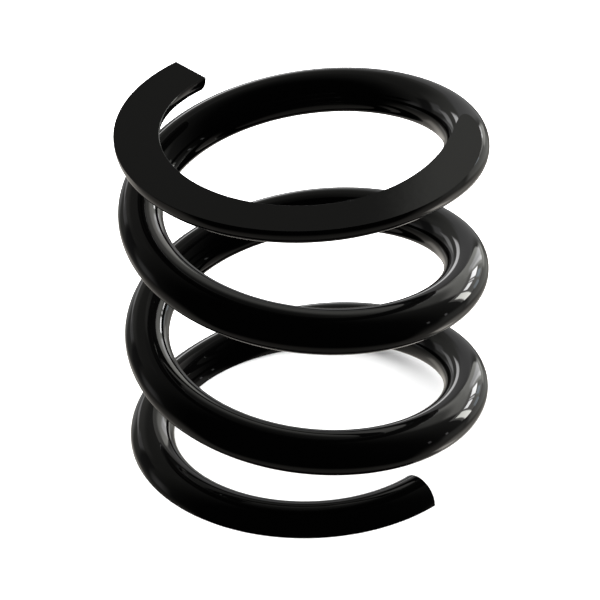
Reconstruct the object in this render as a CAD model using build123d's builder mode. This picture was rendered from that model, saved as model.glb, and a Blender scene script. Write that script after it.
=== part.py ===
from build123d import *
import math
import os

# Left-hand compression coil spring, closed and ground at both ends.
# Frame: coil axis on Z, +Z up, origin where the axis meets the lower ground face.
# Millimetres and degrees.
#
# The spring is one length of round wire. It is cut here into short sections by upright planes
# through the coil axis, so that the sections can slide past each other as the spring is pressed.
# A "run" is the angle travelled round the axis from the lower tip, going up the wire.

# Driving dimensions
wire_radius = 7.0
mean_radius = 50.0
free_height = 112.4
grind_offset = 0.3          # ground face to wire centre line, at the flat end turns
lower_tip_angle = 312.4     # where the wire starts, seen from above, counterclockwise from +X

# How the wire is shared out round the axis
end_run = 157.5             # flat, ground part of each end
end_sections = 3
blend_run = 45.0            # each bend from flat to full pitch
active_sections = 19
active_run = 45.0
blend_stations = 9          # profiles along each bend

# Worked-out dimensions
total_run = 2 * (end_run + blend_run) + active_sections * active_run
active_turns = (active_sections * active_run + blend_run) / 360
centre_line_rise = free_height - 2 * grind_offset
pitch = centre_line_rise / active_turns
active_rise = pitch * active_run / 360
blend_rise = pitch * blend_run / 360 / 2
first_active_height = grind_offset + blend_rise
end_section_run = end_run / end_sections


def lead_angle(share_of_pitch):
    """Slope of the wire, in degrees, where it climbs at a share of the full pitch."""
    return math.degrees(math.atan2(share_of_pitch * pitch, 2 * math.pi * mean_radius))


def upright_height(share_of_pitch):
    """Half the height of the round wire where an upright plane through the axis cuts it."""
    return wire_radius / math.cos(math.radians(lead_angle(share_of_pitch)))


def wire_plane(run, height):
    """Upright plane through the axis at a run: X outwards, Y up, normal on along the wire."""
    angle = math.radians(lower_tip_angle - run)
    outwards = Vector(math.cos(angle), math.sin(angle), 0)
    return Plane(outwards * mean_radius + Vector(0, 0, height), x_dir=outwards,
                 z_dir=outwards.cross(Vector(0, 0, 1)))


# Symmetry of the spring: half a turn about a level axis at mid-height gives the same spring.
middle_angle = math.radians(lower_tip_angle - total_run / 2)
flip_axis = Axis((0, 0, free_height / 2), (math.cos(middle_angle), math.sin(middle_angle), 0))

lower_sections = []
middle_sections = []

# Flat end turn: half-round section, ground flat just past the wire centre
for number in range(end_sections):
    with BuildPart() as end_section:
        with BuildSketch(wire_plane(number * end_section_run, grind_offset)):
            Circle(wire_radius)
            with Locations((0, -grind_offset)):
                Rectangle(2 * wire_radius, 2 * wire_radius, align=(Align.CENTER, Align.MAX),
                          mode=Mode.SUBTRACT)
        revolve(axis=Axis((0, 0, 0), (0, 0, -1)), revolution_arc=end_section_run)
    lower_sections.append((f"end_coil_{number + 1}", end_section.part))

# Bend from flat to full pitch: the slope grows smoothly along it
with BuildPart() as blend_section:
    for station in range(blend_stations):
        along = station / (blend_stations - 1)
        share_of_pitch = 3 * along**2 - 2 * along**3
        height = grind_offset + 2 * blend_rise * (along**3 - along**4 / 2)
        with BuildSketch(wire_plane(end_run + along * blend_run, height)):
            Ellipse(wire_radius, upright_height(share_of_pitch))
    loft()
    split(bisect_by=Plane.XY, keep=Keep.TOP)
lower_sections.append(("transition", blend_section.part))

# One active section at full pitch, standing at +X; the rest are the same piece moved up the helix
with BuildPart() as active_section:
    with BuildLine():
        Helix(pitch, active_rise, mean_radius, lefthand=True)
    with BuildSketch(Plane.XZ.shift_origin((mean_radius, 0, 0))):
        Ellipse(wire_radius, upright_height(1))
    sweep(is_frenet=True)

for number in range(active_sections):
    run = end_run + blend_run + number * active_run
    height = first_active_height + number * active_rise
    with BuildPart() as section:
        add(active_section.part.moved(Location((0, 0, height), (0, 0, lower_tip_angle - run))))
        # The grinding of each end just reaches the first and the last active section
        split(bisect_by=Plane.XY, keep=Keep.TOP)
        split(bisect_by=Plane.XY.offset(free_height), keep=Keep.BOTTOM)
    middle_sections.append((f"active_coil_{number + 1:02d}", section.part))

# Every section of the wire under its own name
sections = {f"lower_{name}": part for name, part in lower_sections}
sections.update(middle_sections)
sections.update({f"upper_{name}": part.rotate(flip_axis, 180) for name, part in lower_sections})

os.makedirs("parts", exist_ok=True)
for name, part in sections.items():
    part.label = name
    export_step(part, f"parts/{name}.step")
    print(f"{name:20s} {part.volume:9.1f} mm3")

wire_length = math.hypot(2 * math.pi * mean_radius * active_turns, centre_line_rise)
print(f"pitch {pitch:.2f}, lead {lead_angle(1):.2f} deg, active turns {active_turns:.3f}, "
      f"active wire {wire_length:.0f} mm")
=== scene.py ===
import math
import bpy
from mathutils import Matrix, Vector


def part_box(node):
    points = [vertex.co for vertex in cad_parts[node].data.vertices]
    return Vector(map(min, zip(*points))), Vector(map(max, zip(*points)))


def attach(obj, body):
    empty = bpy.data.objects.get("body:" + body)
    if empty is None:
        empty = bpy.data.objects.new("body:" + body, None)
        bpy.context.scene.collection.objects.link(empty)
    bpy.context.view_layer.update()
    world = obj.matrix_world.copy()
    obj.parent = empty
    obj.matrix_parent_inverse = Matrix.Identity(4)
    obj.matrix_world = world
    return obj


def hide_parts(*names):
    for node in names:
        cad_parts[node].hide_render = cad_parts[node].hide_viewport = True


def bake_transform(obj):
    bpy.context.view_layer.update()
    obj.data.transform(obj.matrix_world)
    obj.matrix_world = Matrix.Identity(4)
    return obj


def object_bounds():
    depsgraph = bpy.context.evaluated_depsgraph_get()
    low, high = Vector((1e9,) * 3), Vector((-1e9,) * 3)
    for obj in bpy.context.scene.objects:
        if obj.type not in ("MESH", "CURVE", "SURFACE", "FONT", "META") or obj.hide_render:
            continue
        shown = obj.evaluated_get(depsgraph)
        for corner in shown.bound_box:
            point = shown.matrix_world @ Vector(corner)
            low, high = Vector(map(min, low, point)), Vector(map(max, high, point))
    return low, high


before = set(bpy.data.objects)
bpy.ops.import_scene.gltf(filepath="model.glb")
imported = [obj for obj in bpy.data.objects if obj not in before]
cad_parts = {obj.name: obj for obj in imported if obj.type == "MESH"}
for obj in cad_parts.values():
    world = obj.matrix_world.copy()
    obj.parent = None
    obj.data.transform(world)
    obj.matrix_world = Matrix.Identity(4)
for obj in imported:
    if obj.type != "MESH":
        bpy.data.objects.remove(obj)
cad_low, cad_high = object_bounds()

# A coil spring: one length of round steel wire with a glossy black coat, in metres and degrees.
# A "run" is the angle travelled round the axis from the lower tip, going up the wire, which is
# clockwise seen from above.
WIRE_RADIUS = 0.007
MEAN_RADIUS = 0.05
FREE_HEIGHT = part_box("upper_end_coil_1")[1].z
GRIND_OFFSET = 0.0003       # ground face to wire centre line, at the flat end turns
LOWER_TIP_ANGLE = 312.4     # where the wire starts, seen from above, counterclockwise from +X
END_RUN = 157.5             # flat, ground part of each end
END_SECTIONS = 3
BEND_RUN = 45.0             # bend from flat to full pitch
ACTIVE_SECTIONS = 19
ACTIVE_RUN = 45.0
TOTAL_RUN = 2 * (END_RUN + BEND_RUN) + ACTIVE_SECTIONS * ACTIVE_RUN
ACTIVE_TURNS = (ACTIVE_SECTIONS * ACTIVE_RUN + BEND_RUN) / 360
PITCH = (FREE_HEIGHT - 2 * GRIND_OFFSET) / ACTIVE_TURNS

# How finely the wire is drawn
RING_POINTS = 72
HALF_POINT = math.pi / RING_POINTS      # turns the ring, so that next to the ground edge there is
                                        # room on the wire for the edge break
STEP_RUN = 1.5              # degrees from one ring of points to the next
EDGE_BREAK = 0.0002         # rounding of the ground edges and the cut ends
ON_FACE = 1e-6              # a point this near to a plane lies on it
ROUND_ENOUGH = 0.002        # a point this near to the round wire, in wire radii, is on it
EDGE_BREAK_SEGMENTS = 3
LEAST_BREAK_ANGLE = math.radians(35)    # an edge blunter than this is left as it is

# The coat, as linear colours, and what it has picked up
COAT_BLACK = (0.012, 0.012, 0.0125, 1)
COAT_IOR = 1.5
DUST_GREY = (0.045, 0.043, 0.040, 1)
BARE_EDGE_GREY = (0.060, 0.056, 0.052, 1)
RIPPLE_SIZE = 0.003
FINE_RIPPLE_SIZE = 0.35     # as a share of the broad ripple's size
FINE_RIPPLE_DEPTH = 0.2     # as a share of the broad ripple's depth
RUBBED_PATCH_SIZE = 0.012
RUB_GRAIN_SIZE = 0.07       # as a share of the rubbed patch's size
DUST_PATCH_SIZE = 0.02
DUST_SPECK_SIZE = 0.0005
DUST_ROUGHNESS = 0.4        # what full dust adds to the roughness
NICK_SIZE = 0.0012
NICK_AMOUNT = 0.5
NICK_ROUGHNESS = 0.5        # what a full nick adds to the roughness

# What the grinding of the end faces left under the coat
WHEEL_CENTRE = (0.19, 0.08, 0)          # a point on the axis of the grinding wheel
GRINDING_LINE_SPACING = 0.0004
GRINDING_PATCH_SIZE = 0.015
GROUND_FACE_SPECULAR = 0.3

# The camera: a long lens, looking down on the spring and tipped a little to one side
CAMERA_TARGET = Vector((-0.0018, 0, 0.0498))
CAMERA_DISTANCE = 1.1719
CAMERA_ELEVATION = math.radians(34.12)
CAMERA_ROLL = math.radians(-1.54)
LENS_MM = 225.5

# The floor and its own light
FLOOR_SIZE = 12.0
FLOOR_GAP = 0.0002          # keeps the floor clear of the lower ground face
FLOOR_WHITE = (0.9, 0.9, 0.9, 1)
FLOOR_LIGHT_STRENGTH = 12.0
FLOOR_LIGHT_SPREAD = math.radians(120)


def share_of_pitch(run):
    """How steeply the wire climbs at a run: 0 on the flat ends, 1 on the active turns."""
    run = min(run, TOTAL_RUN - run)
    along = min(max((run - END_RUN) / BEND_RUN, 0.0), 1.0)
    return along * along * (3 - 2 * along)


def wire_height(run):
    """Height of the wire's centre line at a run."""
    if run > TOTAL_RUN / 2:
        return FREE_HEIGHT - wire_height(TOTAL_RUN - run)
    if run < END_RUN + BEND_RUN:
        along = max((run - END_RUN) / BEND_RUN, 0.0)
        return GRIND_OFFSET + PITCH * BEND_RUN / 360 * (along**3 - along**4 / 2)
    return GRIND_OFFSET + PITCH * (run - END_RUN - BEND_RUN / 2) / 360


def outwards(run):
    """Level direction from the axis to the wire at a run."""
    angle = math.radians(LOWER_TIP_ANGLE - run)
    return Vector((math.cos(angle), math.sin(angle), 0))


def centre_at(run):
    """The wire's centre at a run."""
    return outwards(run) * MEAN_RADIUS + Vector((0, 0, wire_height(run)))


def along_wire_at(run):
    """Level direction in which the wire runs on at a run."""
    return outwards(run).cross(Vector((0, 0, 1)))


def upright_stretch(run):
    """How much taller the round wire is where an upright plane cuts its slope."""
    return math.hypot(1.0, share_of_pitch(run) * PITCH / (2 * math.pi * MEAN_RADIUS))


def run_of(point, near):
    """The run at which a point lies, on the turn nearest to a given run."""
    run = LOWER_TIP_ANGLE - math.degrees(math.atan2(point.y, point.x))
    return run + 360 * round((near - run) / 360)


def round_wire_normal(point, run):
    """The direction in which the round wire's surface faces at a point on it."""
    out = outwards(run)
    tall = WIRE_RADIUS * upright_stretch(run)
    across = (point.dot(out) - MEAN_RADIUS) / WIRE_RADIUS
    upwards = (point.z - wire_height(run)) / tall
    length = math.hypot(across, upwards)
    across, upwards = across / length, upwards / length
    climb = share_of_pitch(run) * PITCH / (2 * math.pi)
    around = (MEAN_RADIUS + WIRE_RADIUS * across) * out.cross(Vector((0, 0, 1)))
    along_wire = around + Vector((0, 0, climb))
    round_wire = -WIRE_RADIUS * upwards * out + Vector((0, 0, tall * across))
    return along_wire.cross(round_wire).normalized() * -1


def off_round(point, run):
    """How far a point lies from the round wire's surface, as a share of the wire's radius."""
    across = (point.dot(outwards(run)) - MEAN_RADIUS) / WIRE_RADIUS
    upwards = (point.z - wire_height(run)) / (WIRE_RADIUS * upright_stretch(run))
    return abs(math.hypot(across, upwards) - 1)


def sweep_section(name, first_run, last_run):
    """A length of round wire, closed at both ends, drawn ring by ring up the coil."""
    steps = round((last_run - first_run) / STEP_RUN)
    step_run = (last_run - first_run) / steps
    centre = centre_at(first_run)
    upright = (math.pi / 2, HALF_POINT, math.radians(LOWER_TIP_ANGLE - first_run))
    bpy.ops.object.select_all(action="DESELECT")
    bpy.ops.mesh.primitive_circle_add(vertices=RING_POINTS, radius=WIRE_RADIUS, fill_type="NGON",
                                      location=centre, rotation=upright)
    piece = bpy.context.object
    piece.name = piece.data.name = name
    bpy.ops.object.transform_apply(location=True, rotation=True, scale=True)
    bpy.ops.object.mode_set(mode="EDIT")
    bpy.ops.mesh.select_mode(type="FACE")
    bpy.ops.mesh.select_all(action="SELECT")
    bpy.ops.transform.resize(value=(1, 1, upright_stretch(first_run)), center_override=centre)
    for step in range(steps):
        before = first_run + step * step_run
        after = before + step_run
        lift = wire_height(after) - wire_height(before)
        stretch = upright_stretch(after) / upright_stretch(before)
        bpy.ops.mesh.extrude_region_move(TRANSFORM_OT_translate={"value": (0, 0, lift)})
        bpy.ops.transform.rotate(value=math.radians(step_run), orient_axis="Z",
                                 center_override=(0, 0, 0))
        bpy.ops.transform.resize(value=(1, 1, stretch), center_override=centre_at(after))
    bpy.ops.object.mode_set(mode="OBJECT")
    return piece


def grind(piece, height, upwards):
    """Grinds away what stands past a level plane and closes the cut with a flat face."""
    bpy.ops.object.mode_set(mode="EDIT")
    bpy.ops.mesh.select_all(action="SELECT")
    bpy.ops.mesh.bisect(plane_co=(0, 0, height), plane_no=(0, 0, upwards), use_fill=True,
                        clear_outer=True, threshold=1e-7)
    bpy.ops.object.mode_set(mode="OBJECT")


def break_edges(piece, sharp_edges):
    """Rounds the given edges a little, as tumbling and a coat of paint leave them."""
    weights = piece.data.attributes.new("bevel_weight_edge", "FLOAT", "EDGE")
    for edge in sharp_edges:
        weights.data[edge].value = 1.0
    bevel = piece.modifiers.new("edge break", "BEVEL")
    bevel.limit_method = "WEIGHT"
    bevel.width = EDGE_BREAK
    bevel.segments = EDGE_BREAK_SEGMENTS
    bpy.ops.object.modifier_apply(modifier=bevel.name)
    piece.data.attributes.remove(piece.data.attributes["bevel_weight_edge"])


def in_level_plane(points):
    """Whether points all lie in the lower or the upper ground plane."""
    return any(all(abs(p.z - plane) < ON_FACE for p in points) for plane in (0, FREE_HEIGHT))


def in_cut_plane(points, run):
    """Whether points all lie in the upright plane through the axis at a run."""
    return all(abs(p.dot(along_wire_at(run))) < ON_FACE for p in points)


def edges_to_break(piece, first_run, last_run):
    """The long edges of a ground face, and the outline of the wire's cut end, as edge numbers."""
    mesh = piece.data
    facing = {}
    for face in mesh.polygons:
        for key in face.edge_keys:
            facing.setdefault(key, []).append(face.normal)
    found = []
    for edge in mesh.edges:
        points = [mesh.vertices[v].co for v in edge.vertices]
        one, other = facing[edge.key]
        if one.angle(other) < LEAST_BREAK_ANGLE:
            continue
        joins = [run for run in (first_run, last_run) if in_cut_plane(points, run)]
        if joins:
            wanted = joins[0] in (0, TOTAL_RUN)
        else:
            wanted = in_level_plane(points)
        if wanted:
            found.append(edge.index)
    return found


def is_flat(face, mesh, first_run, last_run):
    """Whether a face is a ground face or an end of the section."""
    points = [mesh.vertices[v].co for v in face.vertices]
    if in_level_plane(points):
        return True
    return in_cut_plane(points, first_run) or in_cut_plane(points, last_run)


def curved_normals(mesh, curved_faces, first_run, last_run):
    """For every vertex, the way its curved faces should face, and whether it is off the round wire."""
    sums = [Vector() for _ in mesh.vertices]
    for face in curved_faces:
        for v in face.vertices:
            sums[v] += face.normal * face.area
    normals, broken = [], []
    for vertex, total in zip(mesh.vertices, sums):
        run = run_of(vertex.co, (first_run + last_run) / 2)
        on_wire = off_round(vertex.co, run) < ROUND_ENOUGH
        broken.append(not on_wire)
        if on_wire:
            normals.append(round_wire_normal(vertex.co, run))
        elif in_level_plane([vertex.co]):
            normals.append(Vector((0, 0, math.copysign(1, vertex.co.z - FREE_HEIGHT / 2))))
        elif in_cut_plane([vertex.co], 0) and first_run == 0:
            normals.append(-along_wire_at(0))
        elif in_cut_plane([vertex.co], TOTAL_RUN) and last_run == TOTAL_RUN:
            normals.append(along_wire_at(TOTAL_RUN))
        else:
            normals.append(total.normalized())
    return normals, broken


def shade(piece, first_run, last_run):
    """Gives each face its coat and the normals of the true shape, and marks the edge breaks.

    With the true normals the sections join without a line while the spring is at rest.
    """
    mesh = piece.data
    flat = [is_flat(face, mesh, first_run, last_run) for face in mesh.polygons]
    curved_faces = [face for face, face_is_flat in zip(mesh.polygons, flat) if not face_is_flat]
    normals, broken = curved_normals(mesh, curved_faces, first_run, last_run)
    corner_normals, corner_broken = [], []
    for face, face_is_flat in zip(mesh.polygons, flat):
        face.material_index = int(face_is_flat)
        for v in face.vertices:
            corner_normals.append(face.normal.copy() if face_is_flat else normals[v])
            corner_broken.append(float(broken[v] and not face_is_flat))
    mesh.shade_smooth()
    mesh.normals_split_custom_set(corner_normals)
    mask = mesh.attributes.new("edge_break", "FLOAT", "CORNER")
    mask.data.foreach_set("value", corner_broken)


def follow_compression(piece, first_run, last_run):
    """Works out a section's share of the travel, from end to end, and bakes its place into its mesh;
    nothing here makes it sink as the spring is pressed.
    """
    rise = wire_height(TOTAL_RUN) - wire_height(0)
    shares = [(wire_height(run) - wire_height(0)) / rise for run in (first_run, last_run)]
    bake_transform(piece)


def make_section(node, first_run, last_run):
    """One section of the coated wire, standing for its CAD node."""
    piece = sweep_section(node + "_wire", first_run, last_run)
    if wire_height(first_run) < WIRE_RADIUS:
        grind(piece, 0, -1)
    if wire_height(last_run) > FREE_HEIGHT - WIRE_RADIUS:
        grind(piece, FREE_HEIGHT, 1)
    sharp_edges = edges_to_break(piece, first_run, last_run)
    if sharp_edges:
        break_edges(piece, sharp_edges)
    for material in (coat_on_wire, coat_on_ground_face):
        piece.data.materials.append(material)
    shade(piece, first_run, last_run)
    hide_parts(node)
    return piece


def make_coil():
    """The whole wire, section by section up the coil."""
    end_step = END_RUN / END_SECTIONS
    for number in range(END_SECTIONS):
        near, far = number * end_step, (number + 1) * end_step
        lower = make_section(f"lower_end_coil_{number + 1}", near, far)
        upper = make_section(f"upper_end_coil_{number + 1}", TOTAL_RUN - far, TOTAL_RUN - near)
        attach(lower, "lower_end")
        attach(upper, "upper_end")
    moving = [("lower_transition", BEND_RUN)]
    moving += [(f"active_coil_{number + 1:02d}", ACTIVE_RUN) for number in range(ACTIVE_SECTIONS)]
    moving += [("upper_transition", BEND_RUN)]
    run = END_RUN
    for node, length in moving:
        piece = make_section(node, run, run + length)
        follow_compression(piece, run, run + length)
        run += length


def new_group(name, inputs, output):
    """A shader node group with named inputs, at starting values, and one output; and its sockets."""
    group = bpy.data.node_groups.new(name, "ShaderNodeTree")
    for socket_name, value in inputs.items():
        socket = group.interface.new_socket(socket_name, in_out="INPUT", socket_type="NodeSocketFloat")
        socket.default_value = value
    group.interface.new_socket(output, in_out="OUTPUT", socket_type="NodeSocketFloat")
    given = group.nodes.new("NodeGroupInput").outputs
    made = group.nodes.new("NodeGroupOutput").inputs[output]
    return group, given, made


def join(tree, source, target):
    """Feeds a socket from another socket, or sets it to a plain value."""
    if isinstance(source, bpy.types.NodeSocket):
        tree.links.new(source, target)
    else:
        target.default_value = source


def calculate(tree, operation, *terms):
    """A Math node on sockets or plain values, and its result."""
    node = tree.nodes.new("ShaderNodeMath")
    node.operation = operation
    for term, socket in zip(terms, node.inputs):
        join(tree, term, socket)
    return node.outputs[0]


def smooth_step(tree, value, low, high):
    """0 below low, 1 above high, and smooth between them."""
    node = tree.nodes.new("ShaderNodeMapRange")
    node.interpolation_type = "SMOOTHSTEP"
    for source, name in ((value, "Value"), (low, "From Min"), (high, "From Max")):
        join(tree, source, node.inputs[name])
    return node.outputs["Result"]


def paint_over(tree, share, below, above):
    """One colour painted over with another by a share."""
    node = tree.nodes.new("ShaderNodeMix")
    node.data_type = "RGBA"
    sockets = {socket.name: socket for socket in node.inputs if socket.enabled}
    join(tree, share, sockets["Factor"])
    join(tree, below, sockets["A"])
    join(tree, above, sockets["B"])
    return next(socket for socket in node.outputs if socket.enabled)


def noise(tree, feature_size, detail):
    """Noise fixed to the spring, with features of about a size in metres."""
    place = tree.nodes.new("ShaderNodeTexCoord")
    texture = tree.nodes.new("ShaderNodeTexNoise")
    texture.inputs["Detail"].default_value = detail
    join(tree, calculate(tree, "DIVIDE", 1.0, feature_size), texture.inputs["Scale"])
    tree.links.new(place.outputs["Object"], texture.inputs["Vector"])
    return texture.outputs["Fac"]


def make_orange_peel():
    """The gentle ripple of a baked coat: a height in metres."""
    inputs = {"Ripple Size": RIPPLE_SIZE, "Ripple Depth": 5e-6}
    group, given, made = new_group("orange peel", inputs, "Height")
    broad = noise(group, given["Ripple Size"], detail=1.0)
    fine_size = calculate(group, "MULTIPLY", given["Ripple Size"], FINE_RIPPLE_SIZE)
    fine = noise(group, fine_size, detail=1.0)
    ripple = calculate(group, "MULTIPLY_ADD", fine, FINE_RIPPLE_DEPTH, broad)
    join(group, calculate(group, "MULTIPLY", ripple, given["Ripple Depth"]), made)
    return group


def make_grinding_lines():
    """Fine arcs from the grinding wheel, still just to be felt under the coat: a height in metres."""
    inputs = {"Line Spacing": GRINDING_LINE_SPACING, "Line Depth": 1e-6}
    group, given, made = new_group("grinding lines", inputs, "Height")
    place = group.nodes.new("ShaderNodeTexCoord")
    from_wheel = group.nodes.new("ShaderNodeVectorMath")
    from_wheel.operation = "DISTANCE"
    from_wheel.inputs[1].default_value = WHEEL_CENTRE
    group.links.new(place.outputs["Object"], from_wheel.inputs[0])
    across = group.nodes.new("ShaderNodeCombineXYZ")
    group.links.new(from_wheel.outputs["Value"], across.inputs["X"])
    lines = group.nodes.new("ShaderNodeTexNoise")
    lines.inputs["Detail"].default_value = 3.0
    group.links.new(across.outputs[0], lines.inputs["Vector"])
    join(group, calculate(group, "DIVIDE", 1.0, given["Line Spacing"]), lines.inputs["Scale"])
    patches = smooth_step(group, noise(group, GRINDING_PATCH_SIZE, detail=2.0), low=0.3, high=0.7)
    height = calculate(group, "MULTIPLY", lines.outputs["Fac"], patches)
    join(group, calculate(group, "MULTIPLY", height, given["Line Depth"]), made)
    return group


def make_dust():
    """Fine dust lying in patches on what faces up: a mask."""
    inputs = {"Speck Size": DUST_SPECK_SIZE, "Patch Size": DUST_PATCH_SIZE, "Amount": 0.3}
    group, given, made = new_group("dust", inputs, "Dust")
    surface = group.nodes.new("ShaderNodeNewGeometry")
    facing = group.nodes.new("ShaderNodeSeparateXYZ")
    group.links.new(surface.outputs["Normal"], facing.inputs[0])
    level = smooth_step(group, facing.outputs["Z"], low=0.1, high=0.95)
    patches = smooth_step(group, noise(group, given["Patch Size"], detail=3.0), low=0.45, high=0.75)
    specks = smooth_step(group, noise(group, given["Speck Size"], detail=1.0), low=0.62, high=0.78)
    lying = calculate(group, "MULTIPLY", calculate(group, "MULTIPLY", level, patches), specks)
    join(group, calculate(group, "MULTIPLY", lying, given["Amount"]), made)
    return group


def make_handling_marks():
    """Faint smears and rubbed patches in the gloss: a mask."""
    inputs = {"Patch Size": RUBBED_PATCH_SIZE, "Amount": 0.04}
    group, given, made = new_group("handling marks", inputs, "Rub")
    patches = smooth_step(group, noise(group, given["Patch Size"], detail=4.0), low=0.4, high=0.8)
    grain_size = calculate(group, "MULTIPLY", given["Patch Size"], RUB_GRAIN_SIZE)
    rub = calculate(group, "MULTIPLY", patches, noise(group, grain_size, detail=2.0))
    join(group, calculate(group, "MULTIPLY", rub, given["Amount"]), made)
    return group


def make_thin_edges():
    """Small nicks along broken edges, where a coat is thinnest: a mask."""
    inputs = {"Nick Size": NICK_SIZE, "Amount": NICK_AMOUNT}
    group, given, made = new_group("thin edges", inputs, "Nicks")
    edge = group.nodes.new("ShaderNodeAttribute")
    edge.attribute_name = "edge_break"
    nicks = smooth_step(group, noise(group, given["Nick Size"], detail=3.0), low=0.60, high=0.70)
    in_break = smooth_step(group, edge.outputs["Fac"], low=0.5, high=1.0)
    on_edge = calculate(group, "MULTIPLY", in_break, nicks)
    join(group, calculate(group, "MULTIPLY", on_edge, given["Amount"]), made)
    return group


orange_peel = make_orange_peel()
grinding_lines = make_grinding_lines()
dust = make_dust()
handling_marks = make_handling_marks()
thin_edges = make_thin_edges()


def place_group(tree, group, **values):
    """A group in a material, with this material's values, and what it puts out."""
    node = tree.nodes.new("ShaderNodeGroup")
    node.node_tree = group
    for name, value in values.items():
        node.inputs[name.replace("_", " ").title()].default_value = value
    return node.outputs[0]


def start_coat(name, roughness, dust_amount, rub_amount):
    """The baked black coat: its body, its dust and its gloss, with no relief yet."""
    material = bpy.data.materials.new(name)
    material.use_nodes = True
    tree = material.node_tree
    shader = tree.nodes["Principled BSDF"]
    shader.inputs["IOR"].default_value = COAT_IOR
    lying = place_group(tree, dust, speck_size=DUST_SPECK_SIZE, patch_size=DUST_PATCH_SIZE,
                        amount=dust_amount)
    rub = place_group(tree, handling_marks, patch_size=RUBBED_PATCH_SIZE, amount=rub_amount)
    nicks = place_group(tree, thin_edges, nick_size=NICK_SIZE, amount=NICK_AMOUNT)
    body = paint_over(tree, lying, COAT_BLACK, DUST_GREY)
    tree.links.new(paint_over(tree, nicks, body, BARE_EDGE_GREY), shader.inputs["Base Color"])
    rubbed = calculate(tree, "ADD", rub, roughness)
    dusty = calculate(tree, "MULTIPLY_ADD", lying, DUST_ROUGHNESS, rubbed)
    nicked = calculate(tree, "MULTIPLY_ADD", nicks, NICK_ROUGHNESS, dusty)
    tree.links.new(nicked, shader.inputs["Roughness"])
    return material


def give_relief(material, height):
    """Makes a coat look raised or sunk by a height in metres, with its mesh left as it is."""
    tree = material.node_tree
    bump = tree.nodes.new("ShaderNodeBump")
    bump.inputs["Distance"].default_value = 1.0
    tree.links.new(height, bump.inputs["Height"])
    tree.links.new(bump.outputs["Normal"], tree.nodes["Principled BSDF"].inputs["Normal"])


def make_coat_on_wire():
    """Full gloss on the drawn wire."""
    material = start_coat("coat on wire", roughness=0.012, dust_amount=0.1, rub_amount=0.02)
    ripple = place_group(material.node_tree, orange_peel, ripple_size=RIPPLE_SIZE,
                         ripple_depth=4e-6)
    give_relief(material, ripple)
    return material


def make_coat_on_ground_face():
    """The same coat on the flat faces: duller, mirroring less, with the grinding under it."""
    material = start_coat("coat on ground face", roughness=0.04, dust_amount=0.04, rub_amount=0.03)
    tree = material.node_tree
    shader = tree.nodes["Principled BSDF"]
    shader.inputs["Specular IOR Level"].default_value = GROUND_FACE_SPECULAR
    ripple = place_group(tree, orange_peel, ripple_size=RIPPLE_SIZE, ripple_depth=3e-6)
    lines = place_group(tree, grinding_lines, line_spacing=GRINDING_LINE_SPACING, line_depth=8e-7)
    give_relief(material, calculate(tree, "ADD", ripple, lines))
    return material


coat_on_wire = make_coat_on_wire()
coat_on_ground_face = make_coat_on_ground_face()
make_coil()


# The studio as the gloss of the coat sees it: cards of light, each painted over those before it.
# Azimuth 0 is behind the spring and 90 to its right. A card's azimuth moves by its slant for each
# degree up. Angles are in degrees.
WARM = (1.00, 0.95, 0.87)
CREAM = (1.00, 1.00, 0.94)
WHITE = (1.00, 1.00, 1.00)
COOL = (0.84, 0.94, 1.00)
CARDS = (
    # what              azimuth  elevation  width  height  slant  edge  radiance  tint
    ("room",                   0,       18,    160,     80,      0,    34,     0.18, CREAM),
    ("far floor",              0,      -46,    200,     40,      0,    12,     0.20, WARM),
    ("floor",                  0,      -38,    112,     26,      0,    12,     0.34, WARM),
    ("lit floor strip",      -30,      -33,     44,     10,      0,     4,     0.72, WARM),
    ("floor behind",          12,      -45,     36,     16,      0,     4,     0.80, WARM),
    ("near floor",             0,      -80,    720,     46,      0,     8,     0.13, WARM),
    ("right wall foot",       80,      -22,     22,     18,      0,     5,     0.24, CREAM),
    ("window floor",          46,      -16,     40,     20,      0,     4,     0.52, CREAM),
    ("sunlit floor",          60,      -45,     30,     16,      0,     6,     0.65, WARM),
    ("sun patch",             57,      -52,     26,      6,      0,     2,     1.50, WARM),
    ("left wall",            -78,       -8,     14,     20,      0,     6,     0.34, WHITE),
    ("wall foot",            -20,      -12,     34,     20,      0,     5,     0.42, WHITE),
    ("ceiling",               26,       37,     72,     22,      0,     9,     0.57, CREAM),
    ("ceiling in shade",     -30,       30,     64,     40,      0,   0.6,     0.14, CREAM),
    ("wall over windows",    -30,       18,     46,     22,      0,     6,     0.25, CREAM),
    ("column",               -62,        2,     14,     36,      0,     3,    0.065, WHITE),
    ("back wall",              5,        3,     28,     38,   -0.2,     3,     0.40, WHITE),
    ("left window",          -47,       10,     12,     14,      0,     2,     0.45, WHITE),
    ("left blind",           -32,        4,     12,     11,   -1.3,     2,     1.10, WHITE),
    ("middle blind",         -11,        7,     10,     15,  -1.05,   1.5,     2.90, WHITE),
    ("bright wall",           38,       25,     46,     14,      0,     4,     1.50, CREAM),
    ("bright wall foot",      31,       10,     22,     28,   -0.5,   0.8,     1.70, CREAM),
    ("under curtain",         30,       -7,     14,      9,      0,     2,     1.20, CREAM),
    ("curtain",             27.5,        9,      7,     22,      0,   1.5,     2.80, WHITE),
    ("curtain fold",          31,        7,      3,     20,      0,     1,     3.80, WHITE),
    ("window frame",          54,        7,     38,     26,      0,     1,     0.95, CREAM),
    ("pane 1",                40,       12,      9,      8,      0,   0.8,    10.00, WHITE),
    ("gap",                 47.5,       12,      2,      8,      0,   0.6,     5.50, WHITE),
    ("pane 2",              54.5,       12,      9,      6,      0,   0.8,    10.50, WHITE),
    ("pane 3",                43,        2,      7,      7,      0,     1,     1.90, COOL),
    ("pane 4",                53,       -4,      8,      7,      0,     1,     1.60, COOL),
    ("tall pane",             66,        4,      8,     22,      0,     1,     9.50, CREAM),
    ("slit",                  88,       -9,      2,      7,      0,   0.7,     0.90, WHITE),
    ("second slit",          102,       -8,      2,      7,      0,   0.7,     0.70, WHITE),
)
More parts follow.
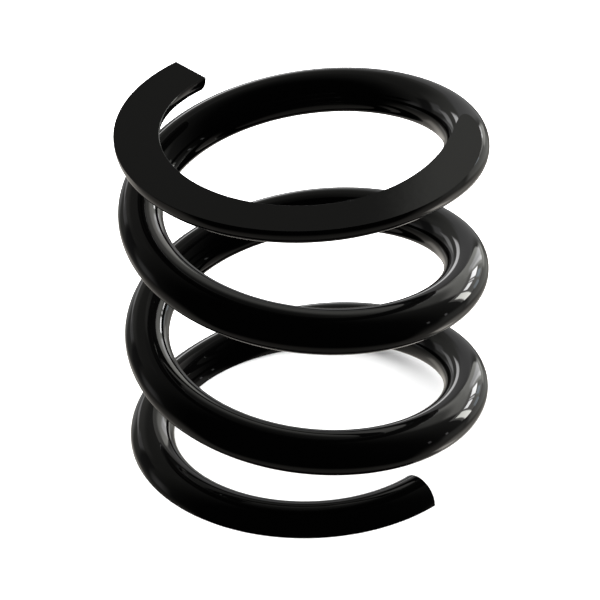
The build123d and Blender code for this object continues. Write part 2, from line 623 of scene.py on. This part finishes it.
UNLIT = (0.004, 0.004, 0.004, 1)        # what the gloss sees where there is no card
FILL_LIGHT = (0.03, 0.03, 0.03, 1)      # on the coat's body colour
BACKDROP = (1, 1, 1, 1)                 # what the camera sees past the floor


def make_card():
    """Where a card of light stands: a mask."""
    inputs = {"Azimuth": 0, "Elevation": 0, "Card Azimuth": 0, "Card Elevation": 0,
              "Width": 10, "Height": 10, "Slant": 0, "Edge": 1}
    group, given, made = new_group("card of light", inputs, "Mask")
    up = calculate(group, "SUBTRACT", given["Elevation"], given["Card Elevation"])
    straight = calculate(group, "SUBTRACT", given["Azimuth"], given["Card Azimuth"])
    along = calculate(group, "SUBTRACT", straight, calculate(group, "MULTIPLY", up, given["Slant"]))
    masks = []
    for offset, size in ((along, given["Width"]), (up, given["Height"])):
        half = calculate(group, "MULTIPLY", size, 0.5)
        outside = calculate(group, "ADD", half, given["Edge"])
        inside = calculate(group, "SUBTRACT", half, given["Edge"])
        masks.append(smooth_step(group, calculate(group, "ABSOLUTE", offset), outside, inside))
    join(group, calculate(group, "MULTIPLY", *masks), made)
    return group


def light_studio():
    """A backdrop to the camera, a dim fill to the coat's body, and the cards to its gloss."""
    world = bpy.data.worlds.new("studio")
    bpy.context.scene.world = world
    world.use_nodes = True
    tree = world.node_tree
    place = tree.nodes.new("ShaderNodeTexCoord")
    way = tree.nodes.new("ShaderNodeSeparateXYZ")
    tree.links.new(place.outputs["Generated"], way.inputs[0])
    turned = calculate(tree, "ARCTAN2", way.outputs["X"], way.outputs["Y"])
    azimuth = calculate(tree, "DEGREES", turned)
    elevation = calculate(tree, "DEGREES", calculate(tree, "ARCSINE", way.outputs["Z"]))
    card_of_light = make_card()
    seen = UNLIT
    for name, *place_and_size, radiance, tint in CARDS:
        card = tree.nodes.new("ShaderNodeGroup")
        card.node_tree = card_of_light
        card.label = name
        for value, socket in zip((azimuth, elevation, *place_and_size), card.inputs):
            join(tree, value, socket)
        colour = (*(radiance * channel for channel in tint), 1)
        seen = paint_over(tree, card.outputs["Mask"], seen, colour)
    ray = tree.nodes.new("ShaderNodeLightPath")
    seen = paint_over(tree, ray.outputs["Is Diffuse Ray"], seen, FILL_LIGHT)
    seen = paint_over(tree, ray.outputs["Is Camera Ray"], seen, BACKDROP)
    tree.links.new(seen, tree.nodes["Background"].inputs["Color"])


def make_floor_paint():
    """Matt white from above, and clear from below, where the spring is looked at through it."""
    material = bpy.data.materials.new("floor paint")
    material.use_nodes = True
    tree = material.node_tree
    shader = tree.nodes["Principled BSDF"]
    shader.inputs["Base Color"].default_value = FLOOR_WHITE
    shader.inputs["Roughness"].default_value = 1.0
    shader.inputs["Specular IOR Level"].default_value = 0.0
    surface = tree.nodes.new("ShaderNodeNewGeometry")
    clear = tree.nodes.new("ShaderNodeBsdfTransparent")
    either = tree.nodes.new("ShaderNodeMixShader")
    tree.links.new(surface.outputs["Backfacing"], either.inputs["Fac"])
    tree.links.new(shader.outputs["BSDF"], either.inputs[1])
    tree.links.new(clear.outputs["BSDF"], either.inputs[2])
    tree.links.new(either.outputs["Shader"], tree.nodes["Material Output"].inputs["Surface"])
    return material


def lay_floor():
    """A plain white floor, which the coat doesn't mirror, and a soft light for the floor alone."""
    bpy.ops.object.select_all(action="DESELECT")
    bpy.ops.mesh.primitive_plane_add(size=FLOOR_SIZE, location=(0, 0, cad_low.z - FLOOR_GAP))
    floor = bpy.context.object
    floor.name = "floor"
    floor.data.materials.append(make_floor_paint())
    floor.visible_glossy = False
    floor.visible_diffuse = False
    lit = bpy.data.collections.new("lit by the floor light")
    lit.objects.link(floor)
    lamp = bpy.data.lights.new("floor light", "SUN")
    lamp.energy = FLOOR_LIGHT_STRENGTH
    lamp.angle = FLOOR_LIGHT_SPREAD
    light = bpy.data.objects.new("floor light", lamp)
    light.light_linking.receiver_collection = lit
    bpy.context.scene.collection.objects.link(light)


def aim_camera():
    """Looks at the spring from the front and above."""
    back = Vector((0, -math.cos(CAMERA_ELEVATION), math.sin(CAMERA_ELEVATION)))
    level = back.to_track_quat("Z", "Y").to_matrix()
    lens = bpy.data.cameras.new("camera")
    lens.lens = LENS_MM
    camera = bpy.data.objects.new("camera", lens)
    camera.location = CAMERA_TARGET + back * CAMERA_DISTANCE
    camera.rotation_euler = (level @ Matrix.Rotation(CAMERA_ROLL, 3, "Z")).to_euler()
    bpy.context.scene.collection.objects.link(camera)
    bpy.context.scene.camera = camera


light_studio()
lay_floor()
aim_camera()
bpy.context.scene.view_settings.view_transform = "Standard"
